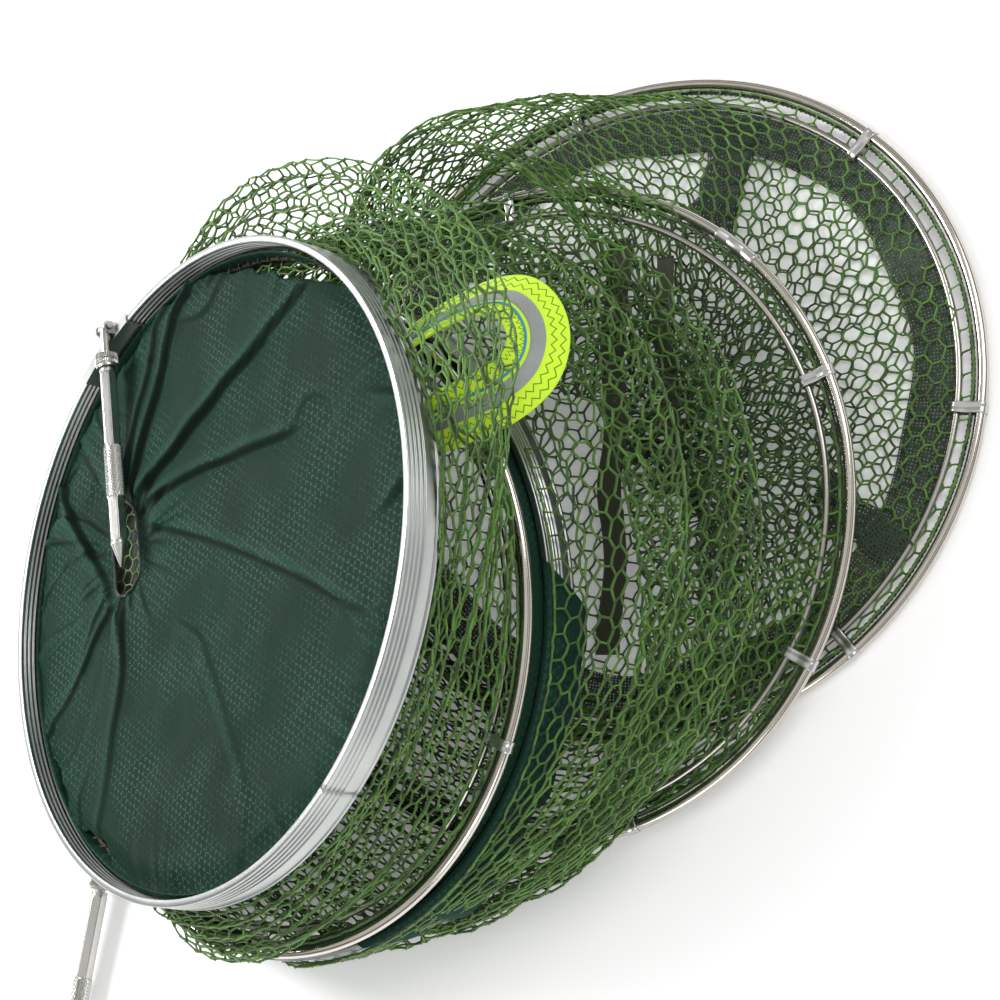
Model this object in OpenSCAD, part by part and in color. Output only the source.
// Collapsible keep-style landing net lying flat: a base hoop on the floor, two more
// double-wire hoops and two ribbed aluminium bands fanned over it, knotless
// netting bays between them, a fabric funnel in the mouth band, two folding
// bank spikes and a webbing lift loop.
// Frame: millimetres, +Z up, origin on the floor under the centre of the base hoop,
// +X from the mouth band towards the base hoop.

/* [Hoops] */
// Outside radius of the base hoop
base_r = 221.5; // [215:0.5:226]
// Outside radius of the lower middle hoop
hoop3_r = 211.6; // [207:0.2:213]
// Outside radius of the upper middle hoop
hoop2_r = 209; // [207:0.1:210]
// Diameter of the polished hoop tube
tube_d = 7; // [6:0.1:7]
// Diameter of the inner net wire of each hoop
wire_d = 4.5; // [3.5:0.1:4.5]
// Distance from the tube centre in to the net wire centre
wire_in = 15; // [14:0.5:16]
// Width of each wrap clip along the hoop
clip_w = 7; // [5:0.5:8]
// Sheet thickness of the wrap clips
clip_t = 0.8; // [0.5:0.1:0.8]

/* [Ribbed bands] */
// Outside radius of the mouth band
mouth_r = 213; // [212:0.2:214]
// Outside radius of the middle band
band_r = 211.8; // [210:0.2:212.2]
// Axial depth of both ribbed bands
band_h = 25; // [22:0.5:25]
// Radial thickness of both ribbed bands
band_t = 5; // [4:0.2:5]
// Depth of the rib grooves
rib_d = 0.9; // [0.4:0.1:1.2]

/* [Fan of the pile] */
// Tilt of the mouth band from flat
mouth_tilt = 22.6; // [21.8:0.1:23]
// Tilt of the upper middle hoop from flat
hoop2_tilt = 16; // [15.8:0.1:16.2]
// Tilt of the middle band from flat
band_tilt = 14; // [13.8:0.1:14.2]
// Tilt of the lower middle hoop from flat
hoop3_tilt = 7.1; // [6:0.1:7.4]

/* [Bank spikes] */
// Length from the pivot pin to the point
spike_l = 176.5; // [165:0.5:180]
// Width across the flats of the hexagon bar
hex_af = 10.5; // [9:0.5:10.5]
// Diameter of the knurled grip
grip_d = 12.3; // [12.2:0.1:12.8]
// Diameter of the round stub that carries the pivot eye
stub_d = 7.2; // [6.4:0.1:7.2]
// Diameter of the knurled locking collar
collar_d = 16.4; // [14:0.2:16.4]
// Radial running clearance of the pivots and collars
run_c = 0.05; // [0.03:0.01:0.08]

/* [Soft parts] */
// Thickness of the solid that stands for netting
net_t = 1.4; // [1:0.1:1.6]
// Width of the lift loop webbing
strap_w = 38; // [34:1:40]

/* [Hidden] */
$fn = 64;

tube_r = tube_d/2;
wire_r = wire_d/2;
clip_gap = 0.05;
clip_r = tube_r + clip_gap + clip_t;

// Poses: [outside radius, centre, tilt, azimuth of the low side].
// The base hoop rests on its clips.
base_pose  = [base_r,  [0, 0, clip_r], 0, 0];
hoop3_pose = [hoop3_r, [-84.3, -47.8, 31.2], hoop3_tilt, 234];
band_pose  = [band_r,  [-255.9, -60.5, 76.0], band_tilt, 193.6];
hoop2_pose = [hoop2_r, [-255.3, -63.4, 88.0], hoop2_tilt, 190.8];
mouth_pose = [mouth_r, [-278.4, -21.8, 131.3], mouth_tilt, 162];

function rim_r(pose) = pose[0];
function centre(pose) = pose[1];
function tilt(pose) = pose[2];
function azimuth(pose) = pose[3];

tube_colour = [0.78, 0.76, 0.73];
wire_colour = [0.7, 0.7, 0.69];
hem_colour = [0.05, 0.07, 0.06];
sheet_colour = [0.8, 0.8, 0.8];
joiner_colour = [0.6, 0.6, 0.6];
bracket_colour = [0.72, 0.72, 0.72];
pin_colour = [0.6, 0.6, 0.6];
stub_colour = [0.78, 0.77, 0.75];
collar_colour = [0.7, 0.7, 0.7];
rod_colour = [0.76, 0.76, 0.75];
tip_colour = [0.8, 0.8, 0.79];

// World position of a point given in a pose's own polar frame
function frame_pt(pose, r, angle, h) =
  let (x = r*cos(angle), y = r*sin(angle),
       tilted_x = x*cos(tilt(pose)) + h*sin(tilt(pose)),
       tilted_z = -x*sin(tilt(pose)) + h*cos(tilt(pose)),
       turn = azimuth(pose))
  centre(pose) + [tilted_x*cos(turn) - y*sin(turn), tilted_x*sin(turn) + y*cos(turn), tilted_z];

module place(pose)
  translate(centre(pose)) rotate([0, tilt(pose), azimuth(pose)]) children();

module ring_tube(pose, r, d)
  place(pose) rotate_extrude($fn = 96) translate([r, 0]) circle(d = d, $fn = 32);

module ring_piece(start, sweep)
  rotate([0, 0, start]) rotate_extrude(angle = sweep, $fn = 96) children();

// ---- hoops ----
hem_d = 3.2;
hem_in = 2.5;          // from the inside of the tube to the hem cord centre
ferrule_sweep = 9;     // degrees
ferrule_gap = 0.03;
ferrule_out = 0.75;    // ferrule surface beyond the tube surface
clip_slot = 3.8;       // opening between the two arms of a clip

module hoop_tube(pose) ring_tube(pose, rim_r(pose) - tube_r, tube_d);
module hoop_wire(pose) ring_tube(pose, rim_r(pose) - tube_r - wire_in, wire_d);
module hoop_hem(pose) ring_tube(pose, rim_r(pose) - tube_d - hem_in, hem_d);

module hoop_ferrule(pose, at)
  place(pose) ring_piece(at - ferrule_sweep/2, ferrule_sweep) translate([rim_r(pose) - tube_r, 0])
    difference() {
      circle(r = tube_r + ferrule_out, $fn = 32);
      circle(r = tube_r + ferrule_gap, $fn = 32);
    }

// Outline round the tube and the wire, joined by a straight web
module clip_outline(tube_end_r, wire_end_r, web_w) {
  circle(r = tube_end_r, $fn = 40);
  translate([-wire_in, 0]) circle(r = wire_end_r, $fn = 40);
  translate([-wire_in, -web_w/2]) square([wire_in, web_w]);
}

// One flat strip wrapped round tube and wire
module clip()
  rotate([90, 0, 0]) translate([0, 0, -clip_w/2]) linear_extrude(height = clip_w)
    difference() {
      union() clip_outline(clip_r, clip_r, 2*clip_r);
      union() clip_outline(tube_r + clip_gap, wire_r + clip_gap, clip_slot);
    }

module hoop_clips(pose, at)
  place(pose) for (angle = at)
    rotate([0, 0, angle]) translate([rim_r(pose) - tube_r, 0, 0]) clip();

// ---- ribbed bands: upper rim at height 0, grooves on both faces ----
groove_heights = [-3.2, -6.4, -9.6, -12.8, -22];
groove_w = 1.6;
band_chamfer = 0.7;
butt_gap = 0.5;
joiner_sweep = 10;     // degrees
joiner_bottom = -20.9;
joiner_h = 5.8;
joiner_t = 2;
socket_gap = 0.1;
socket_spare = 0.2;    // extra socket angle at each end of the joiner
mid_joint_at = 250;
mouth_joint_at = 130.9;

function inside_r(pose) = rim_r(pose) - band_t;

module band_profile(outer) {
  inner = outer - band_t;
  c = band_chamfer;
  difference() {
    polygon([[inner + c, 0], [outer - c, 0], [outer, -c], [outer, -band_h + c],
      [outer - c, -band_h], [inner + c, -band_h], [inner, -band_h + c], [inner, -c]]);
    for (z = groove_heights) {
      translate([outer - rib_d, z - groove_w/2]) square([rib_d + 1, groove_w]);
      translate([inner - 1, z - groove_w/2]) square([rib_d + 1, groove_w]);
    }
  }
}

// Curved bar across the joint; with gap and spare it is the socket
module joiner_bar(pose, at, gap = 0, spare = 0)
  ring_piece(at - joiner_sweep/2 - spare, joiner_sweep + 2*spare)
    translate([rim_r(pose) - band_t/2 - joiner_t/2 - gap, joiner_bottom - gap])
      square([joiner_t + 2*gap, joiner_h + 2*gap]);

module ribbed_band(pose, joint_at)
  place(pose) difference() {
    rotate_extrude($fn = 96) band_profile(rim_r(pose));
    // butt joint
    rotate([0, 0, joint_at]) translate([rim_r(pose) - band_t/2, 0, -band_h/2])
      cube([band_t + 2, butt_gap, band_h + 2], center = true);
    joiner_bar(pose, joint_at, socket_gap, socket_spare);
  }

module joiner(pose, joint_at) place(pose) joiner_bar(pose, joint_at);

// Fabric sleeve inside a band; span and cut are [bottom, height] of wall and bore
sleeve_t = 1.4;
module sleeve(pose, gap, span, cut)
  place(pose) difference() {
    translate([0, 0, span[0]]) cylinder(r = inside_r(pose) - gap, h = span[1]);
    translate([0, 0, cut[0]]) cylinder(r = inside_r(pose) - gap - sleeve_t, h = cut[1]);
  }

// ---- netting bays: ruled sheet from just above one ring to just below the next ----
net_stations = 48;     // round a full turn
net_in = 24;           // from the outside of a ring to the net edge
net_floor_z = 2.6;     // lowest height of an upper edge above the floor
net_over = 6;          // lowest height of an upper edge above the ring below

function up_of(pose) = frame_pt([0, [0, 0, 0], tilt(pose), azimuth(pose)], 0, 0, 1);

// Heights in the upper ring's frame, raised where the edge would fall too low
function clear_of_floor(pose, r, angle, h) =
  max(h, (net_floor_z - centre(pose)[2] + sin(tilt(pose))*r*cos(angle))/cos(tilt(pose)));
function clear_of_ring(lower, upper, r, angle, h) =
  let (rise = (frame_pt(upper, r, angle, h) - centre(lower))*up_of(lower))
  h + max(0, net_over - rise)/(up_of(lower)*up_of(upper));

function station_angle(pose, k) = k*360/net_stations - azimuth(pose);
function lower_pt(pose, k, h) = frame_pt(pose, rim_r(pose) - net_in, station_angle(pose, k), h);
function upper_pt(lower, upper, k, h, over_ring) =
  let (angle = station_angle(upper, k), r = rim_r(upper) - net_in)
  frame_pt(upper, r, angle, over_ring ? clear_of_ring(lower, upper, r, angle, h)
                                      : clear_of_floor(upper, r, angle, h));

// Outward unit normal at station k, from its neighbours before and after
function out_dir(low, high, before, k, after) =
  let (normal = cross(low[after] + high[after] - low[before] - high[before], high[k] - low[k]))
  normal/norm(normal);

// first..last: the stations covered; a full turn makes a closed tube, less an open sheet
module bay(lower, upper, lower_h, upper_h, over_ring = false, first = 0, last = net_stations) {
  closed = last - first == net_stations;
  count = closed ? net_stations : last - first + 1;
  low = [for (k = [0:count-1]) lower_pt(lower, first + k, lower_h)];
  high = [for (k = [0:count-1]) upper_pt(lower, upper, first + k, upper_h, over_ring)];
  out = [for (k = [0:count-1]) out_dir(low, high,
    closed ? (k + count - 1)%count : max(k - 1, 0), k,
    closed ? (k + 1)%count : min(k + 1, count - 1))];
  // four rows of points: outer low, outer high, inner high, inner low
  points = concat(low, high,
    [for (k = [0:count-1]) high[k] - net_t*out[k]],
    [for (k = [0:count-1]) low[k] - net_t*out[k]]);
  sides = [for (row = [0:3]) for (k = [0:(closed ? count - 1 : count - 2)])
    let (next = (k + 1)%count, near = row*count, far = ((row + 1)%4)*count)
    each [[near + k, far + next, far + k], [near + k, near + next, far + next]]];
  ends = closed ? [] :
    [[0, count, 2*count, 3*count], [count - 1, 4*count - 1, 3*count - 1, 2*count - 1]];
  polyhedron(points = points, faces = concat(sides, ends), convexity = 6);
}

// ---- base body ----
fabric_t = 1.2;
trim_z = 2.4;
strap_z = 4.1;
// Strips: [x, y, turn, start along the strip, length, width]
strap_rows = [[104, 130, 56, -45, 140, 30],
              [104, -143, -65, -42, 140, 22]];
tape_rows = [[-178, 12, 13, 0, 262, 20],
             [-172, 46, 17, 0, 150, 12]];

module strip(row, z, height)
  translate([row[0], row[1], z]) rotate([0, 0, row[2]])
    translate([row[3], -row[5]/2, 0]) cube([row[4], row[5], height]);

module base_hoop_tube() color(tube_colour) hoop_tube(base_pose);
module base_net_wire() color(wire_colour) hoop_wire(base_pose);
module base_hem_cord() color(hem_colour) hoop_hem(base_pose);
module base_ferrule() color(sheet_colour) hoop_ferrule(base_pose, at = 200);
module base_clips() color(sheet_colour)
  hoop_clips(base_pose, at = [27, -27.5, 85, 140, 232, 288]);
module base_panel() color([0.24, 0.42, 0.16]) cylinder(r = base_r - 26, h = fabric_t);
module base_trim_band() color([0.10, 0.16, 0.10])
  difference() {
    translate([0, 0, trim_z]) cylinder(r = base_r - 26.5, h = fabric_t);
    translate([0, 0, trim_z - 0.4]) cylinder(r = base_r - 53, h = 2);
  }
// Strips trimmed to a disc
module base_straps() color([0.12, 0.18, 0.12])
  intersection() {
    translate([0, 0, strap_z]) cylinder(r = base_r - 27, h = fabric_t);
    union() for (row = strap_rows) strip(row, 0, 8);
  }
module net_base_bay() color([0.24, 0.45, 0.16])
  bay(base_pose, hoop3_pose, lower_h = 11, upper_h = -9);

// ---- lower middle hoop body ----
module hoop3_tube() color(tube_colour) hoop_tube(hoop3_pose);
module hoop3_net_wire() color(wire_colour) hoop_wire(hoop3_pose);
module hoop3_hem_cord() color(hem_colour) hoop_hem(hoop3_pose);
module hoop3_ferrule() color(sheet_colour) hoop_ferrule(hoop3_pose, at = 153);
module hoop3_clips() color(sheet_colour)
  hoop_clips(hoop3_pose, at = [32.2, 74.6, 124.7, 200, 258, 315]);
module side_tapes() color([0.22, 0.19, 0.13])
  place(hoop3_pose) for (row = tape_rows) strip(row, -1, fabric_t);
module net_lower_bay() color([0.22, 0.42, 0.15])
  bay(hoop3_pose, band_pose, lower_h = 11, upper_h = -34);

// ---- middle band body ----
module mid_band() color([0.70, 0.71, 0.72]) ribbed_band(band_pose, mid_joint_at);
module mid_band_joiner() color(joiner_colour) joiner(band_pose, mid_joint_at);
module mid_sleeve() color([0.11, 0.22, 0.19])
  sleeve(band_pose, gap = 1.2, span = [-23, 20], cut = [-24, 22]);

// ---- upper middle hoop body ----
module hoop2_tube() color(tube_colour) hoop_tube(hoop2_pose);
module hoop2_net_wire() color(wire_colour) hoop_wire(hoop2_pose);
module hoop2_hem_cord() color(hem_colour) hoop_hem(hoop2_pose);
module hoop2_ferrule() color(sheet_colour) hoop_ferrule(hoop2_pose, at = 300);
module hoop2_clips() color(sheet_colour)
  hoop_clips(hoop2_pose, at = [52.2, 123.2, 175, 230, 345]);
module net_upper_bay() color([0.26, 0.48, 0.18])
  bay(hoop2_pose, mouth_pose, lower_h = 8, upper_h = -38, over_ring = true, first = 22, last = 58);

// ---- mouth body ----
funnel_t = 1.6;
funnel_rim_r = mouth_r - band_t - 3.4;
funnel_rim_h = -4.2;
funnel_flat_r = 110;
funnel_flat_h = -9;
slot_r = 10;
slot_l = 36;           // between the end centres of the funnel slot
cord_d = 2.6;
cord_h = -21;
cord_in = 5.4;         // from the inside of the band to the cord centre

module mouth_band() color([0.74, 0.75, 0.75]) ribbed_band(mouth_pose, mouth_joint_at);
module mouth_band_joiner() color(joiner_colour) joiner(mouth_pose, mouth_joint_at);
module funnel_slot()
  translate([94, -31, -30]) rotate([0, 0, 100]) translate([-slot_l/2, 0, 0]) {
    cylinder(r = slot_r, h = 40);
    translate([slot_l, 0, 0]) cylinder(r = slot_r, h = 40);
    translate([0, -slot_r, 0]) cube([slot_l, 2*slot_r, 40]);
  }
module mouth_funnel() color([0.13, 0.28, 0.23])
  place(mouth_pose) difference() {
    rotate_extrude($fn = 96) polygon([
      [0, funnel_flat_h], [funnel_flat_r, funnel_flat_h],
      [funnel_rim_r, funnel_rim_h], [funnel_rim_r, funnel_rim_h - funnel_t],
      [funnel_flat_r, funnel_flat_h - funnel_t], [0, funnel_flat_h - funnel_t]]);
    funnel_slot();
  }
module mouth_skirt() color([0.10, 0.21, 0.18])
  sleeve(mouth_pose, gap = 1.8, span = [-24.5, 15], cut = [-26, 20]);
module lacing_cord() color([0.30, 0.20, 0.12])
  ring_tube([mouth_r, frame_pt(mouth_pose, 0, 0, cord_h), mouth_tilt, azimuth(mouth_pose)],
    inside_r(mouth_pose) - cord_in, cord_d);

// ---- lift loop: flat U of webbing with its open end towards -X ----
loop_z = 169.6;
loop_t = 2.4;
loop_r = 45.5;
loop_bend_x = 4;
loop_end_x = -49.5;
reflector_w = 10;

module loop_outline(r, end_x, sides) {
  translate([loop_bend_x, 0]) circle(r = r, $fn = sides);
  translate([end_x, -r]) square([loop_bend_x - end_x, 2*r]);
}
module at_loop(z) translate([-38.3, -1, z]) rotate([0, 0, 4]) children();
module loop_plate(z, thick, width, inset)
  difference() {
    at_loop(z) linear_extrude(height = thick)
      loop_outline(loop_r - inset, loop_end_x + inset, 96);
    at_loop(z - 1) linear_extrude(height = thick + 2)
      loop_outline(loop_r - inset - width, -60, 64);
  }
module lift_loop() color([0.72, 0.95, 0.05]) loop_plate(loop_z, loop_t, strap_w, 0);
module lift_loop_reflector() color([0.62, 0.64, 0.64])
  loop_plate(loop_z + loop_t + 0.05, 0.5, reflector_w, (strap_w - reflector_w)/2);

// ---- spike frames: x along the rod, z off the ring plane, origin on the pivot ----
// Spike A folds over the mouth band, spike B stands out from the middle band
pivot_a_r = mouth_r + 2.5;
pivot_a_h = 5.5;
pivot_a_at = -59.7;
spike_a_turn = 100.8;
pivot_b_r = band_r + 8.8;
pivot_b_h = -12;
pivot_b_at = 3.1;
spike_b_turn = 47.6;
spike_b_lift = 8;

module at_pivot(pose, r, at, h, turn)
  place(pose) translate([r*cos(at), r*sin(at), h]) rotate([0, 0, turn]) children();
module at_spike_a()
  at_pivot(mouth_pose, pivot_a_r, pivot_a_at, pivot_a_h, spike_a_turn) children();
module at_spike_b()
  at_pivot(band_pose, pivot_b_r, pivot_b_at, pivot_b_h, spike_b_turn) children();
module swing_b() at_spike_b() rotate([0, -spike_b_lift, 0]) children();

// ---- brackets and pivot pins ----
bracket_t = 1.4;
bracket_gap = 0.06;
channel_l = 18;        // leg length below the upper rim
cheek_r = 4.4;
cheek_y = 4.1;         // from the rod axis to the inside of a cheek
pin_r = 1.5;
pin_l = 12.4;
pin_head_r = 2.6;
fixed_gap = 0.02;      // radial gap of joints that do not turn

// Folded channel over the upper rim of the mouth band
module channel() {
  inner = mouth_r - band_t - bracket_gap;
  width = band_t + 2*bracket_gap;
  difference() {
    translate([inner - bracket_t, -channel_l])
      square([width + 2*bracket_t, channel_l + bracket_gap + bracket_t]);
    translate([inner, -channel_l - 1]) square([width, channel_l + 1 + bracket_gap]);
  }
}
// Two cheeks, one on each side of the rod
module cheeks(x0, x1, z0, z1)
  for (y = [cheek_y, -cheek_y - bracket_t]) {
    translate([0, y + bracket_t, 0]) rotate([90, 0, 0])
      cylinder(r = cheek_r, h = bracket_t, $fn = 40);
    translate([x0, y, z0]) cube([x1 - x0, bracket_t, z1 - z0]);
  }
module pin_hole()
  translate([0, 12, 0]) rotate([90, 0, 0]) cylinder(r = pin_r + fixed_gap, h = 24, $fn = 32);
module bracket_a() color(bracket_colour) {
  difference() {
    union() {
      place(mouth_pose) ring_piece(pivot_a_at - 5, 16) channel();
      at_spike_a() cheeks(-cheek_r, 5, -13, 0);
    }
    // clears the cheeks from the band, and takes the inner leg too
    place(mouth_pose) translate([0, 0, 0.1 - channel_l])
      cylinder(r = mouth_r + bracket_gap, h = channel_l - 0.1 + bracket_gap, $fn = 96);
    at_spike_a() pin_hole();
  }
  // inner leg of the channel
  place(mouth_pose) ring_piece(pivot_a_at - 5, 16)
    translate([mouth_r - band_t - bracket_gap - bracket_t, -channel_l])
      square([bracket_t, channel_l + bracket_gap + bracket_t]);
}
module bracket_b() color(bracket_colour)
  difference() {
    union() {
      place(band_pose) ring_piece(pivot_b_at - 6, 12)
        translate([band_r + bracket_gap, -20]) square([bracket_t, 17]);
      at_spike_b() cheeks(-17, 0, -cheek_r, cheek_r);
    }
    place(band_pose) translate([0, 0, -24])
      cylinder(r = band_r + bracket_gap, h = 24.5, $fn = 96);
    at_spike_b() pin_hole();
  }
module pin() rotate([90, 0, 0]) translate([0, 0, -pin_l/2]) {
  cylinder(r = pin_r, h = pin_l, $fn = 32);
  for (z = [-1, pin_l]) translate([0, 0, z]) cylinder(r = pin_head_r, h = 1, $fn = 32);
}
module pivot_pin_a() color(pin_colour) at_spike_a() pin();
module pivot_pin_b() color(pin_colour) at_spike_b() pin();

// ---- spike parts, stations measured from the pivot pin along the rod ----
collar_x = 20.5;
collar_l = 10;
collar_step = 2;       // length of the narrower far end of the collar
flutes = 20;
rod_x = 31.5;
rod_flange = 2;
stub_in = 10;          // stub length inside the rod
grip_x = 89;
grip_l = 38.5;
grip_end = grip_x + grip_l;
tip_x = spike_l - 15.6;
rod_end = tip_x - 2;
shank_l = 8;
shank_r = 3;
hex_r = hex_af/2/cos(30);

module along(x) translate([x, 0, 0]) rotate([0, 90, 0]) children();

module stub() difference() {
  union() {
    rotate([90, 0, 0]) cylinder(r = stub_d/2, h = 7.6, center = true, $fn = 40);
    along(0) cylinder(r = stub_d/2, h = rod_x + stub_in, $fn = 40);
  }
  rotate([90, 0, 0]) cylinder(r = pin_r + run_c, h = 20, center = true, $fn = 32);
}
module collar() along(collar_x) difference() {
  union() {
    cylinder(r = collar_d/2, h = collar_l - collar_step, $fn = 64);
    translate([0, 0, collar_l - collar_step])
      cylinder(r = collar_d/2 - 1, h = collar_step, $fn = 64);
  }
  translate([0, 0, -1]) cylinder(r = stub_d/2 + run_c, h = collar_l + 2, $fn = 40);
  for (i = [0:flutes-1]) rotate([0, 0, i*360/flutes])
    translate([collar_d/2 + 0.35, 0, -1]) cylinder(r = 0.9, h = collar_l + 2, $fn = 16);
}
module rod() difference() {
  union() {
    along(rod_x) cylinder(r = hex_af/2 + 0.3, h = rod_flange, $fn = 48);
    along(rod_x + rod_flange) cylinder(r = hex_r, h = grip_x - rod_x - rod_flange, $fn = 6);
    along(grip_x) cylinder(r = grip_d/2, h = grip_l, $fn = 48);
    along(grip_end) cylinder(r = hex_r, h = rod_end - grip_end, $fn = 6);
  }
  along(rod_x - 1) cylinder(r = stub_d/2 + fixed_gap, h = stub_in + 1.1, $fn = 40);
  along(tip_x - shank_l - 0.1) cylinder(r = shank_r + fixed_gap, h = 10, $fn = 32);
}
module tip() {
  along(tip_x - shank_l) cylinder(r = shank_r, h = shank_l, $fn = 32);
  along(rod_end + 0.1) cylinder(r = hex_af/2 + 0.4, h = 2.4, $fn = 48);
  along(tip_x + 0.5)
    cylinder(r1 = hex_af/2 - 0.2, r2 = 0.5, h = spike_l - tip_x - 0.5, $fn = 48);
}
module spike_a_stub() color(stub_colour) at_spike_a() stub();
module spike_a_collar() color(collar_colour) at_spike_a() collar();
module spike_a_rod() color(rod_colour) at_spike_a() rod();
module spike_a_tip() color(tip_colour) at_spike_a() tip();
module spike_b_stub() color(stub_colour) swing_b() stub();
module spike_b_collar() color(collar_colour) swing_b() collar();
module spike_b_rod() color(rod_colour) swing_b() rod();
module spike_b_tip() color(tip_colour) swing_b() tip();

base_hoop_tube();
base_net_wire();
base_hem_cord();
base_ferrule();
base_clips();
base_panel();
base_trim_band();
base_straps();
net_base_bay();
hoop3_tube();
hoop3_net_wire();
hoop3_hem_cord();
hoop3_ferrule();
hoop3_clips();
side_tapes();
net_lower_bay();
mid_band();
mid_band_joiner();
mid_sleeve();
hoop2_tube();
hoop2_net_wire();
hoop2_hem_cord();
hoop2_ferrule();
hoop2_clips();
net_upper_bay();
mouth_band();
mouth_band_joiner();
mouth_funnel();
mouth_skirt();
lacing_cord();
lift_loop();
lift_loop_reflector();
bracket_a();
pivot_pin_a();
spike_a_stub();
spike_a_collar();
spike_a_rod();
spike_a_tip();
bracket_b();
pivot_pin_b();
spike_b_stub();
spike_b_collar();
spike_b_rod();
spike_b_tip();
